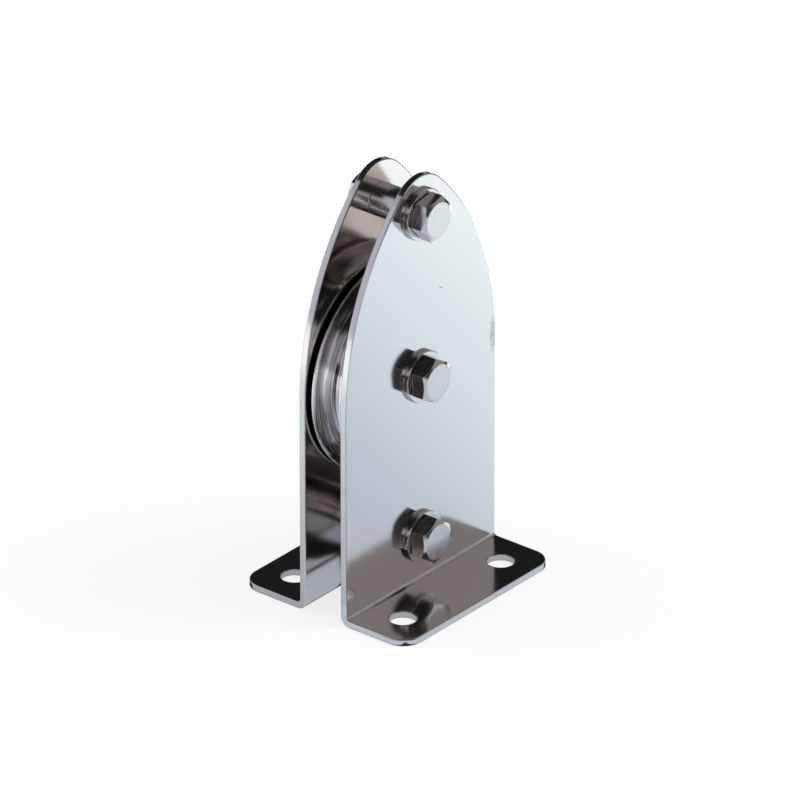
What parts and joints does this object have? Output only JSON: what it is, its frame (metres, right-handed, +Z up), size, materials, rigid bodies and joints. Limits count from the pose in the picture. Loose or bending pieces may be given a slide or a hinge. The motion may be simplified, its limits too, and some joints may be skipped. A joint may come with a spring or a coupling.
{
  "type": "pulley block",
  "caption": "Fixed upright pulley block: a grooved sheave on a ball bearing between two flanged, polished steel side plates.",
  "frame": {"origin": "centre of the base, on the surface that the two flanges stand on", "axes": "+Z up, +X along the axle from the nuts towards the bolt heads, +Y across the width of the side plates"},
  "size_m": [0.086, 0.094, 0.1825],
  "materials": {
    "polished_sheet": "mirror-polished stainless sheet, fine polishing haze",
    "turned_steel": "turned stainless, fine concentric tool lines",
    "fastener_steel": "bright stainless, smooth",
    "washer_steel": "bright stainless, smooth",
    "tube_steel": "drawn stainless tube, satin",
    "bearing_steel": "ground and polished",
    "pressed_steel": "pressed thin sheet, satin",
    "spring_steel": "stainless spring steel, satin"
  },
  "bodies": {
    "frame": {"side_plate_left": "polished_sheet", "side_plate_right": "polished_sheet", "bearing_inner_race": "bearing_steel", "axle_collar_left": "tube_steel", "axle_collar_right": "tube_steel", "top_spacer_tube": "tube_steel", "bottom_spacer_tube": "tube_steel", "axle_bolt": "fastener_steel", "clamp_bolts": "fastener_steel", "hex_nuts": "fastener_steel", "head_washers": "washer_steel", "nut_washers": "washer_steel"},
    "wheel": {"sheave": "turned_steel", "bearing_outer_race": "bearing_steel", "bearing_shield_left": "pressed_steel", "bearing_shield_right": "pressed_steel", "retaining_ring": "spring_steel"},
    "ball_set": {"bearing_balls": "bearing_steel", "bearing_cage_left": "pressed_steel", "bearing_cage_right": "pressed_steel", "bearing_cage_rivets": "pressed_steel"}
  },
  "joints": [
    {"name": "sheave_spin", "type": "hinge", "parent": "frame", "child": "wheel", "pos_m": [0, 0, 0.094], "axis": [1, 0, 0], "continuous": true},
    {"name": "ball_set_spin", "type": "hinge", "parent": "frame", "child": "ball_set", "pos_m": [0, 0, 0.094], "axis": [1, 0, 0], "continuous": true}
  ],
  "couplings": [
    {"joint": "ball_set_spin", "follows": "sheave_spin", "ratio": 0.619}
  ]
}
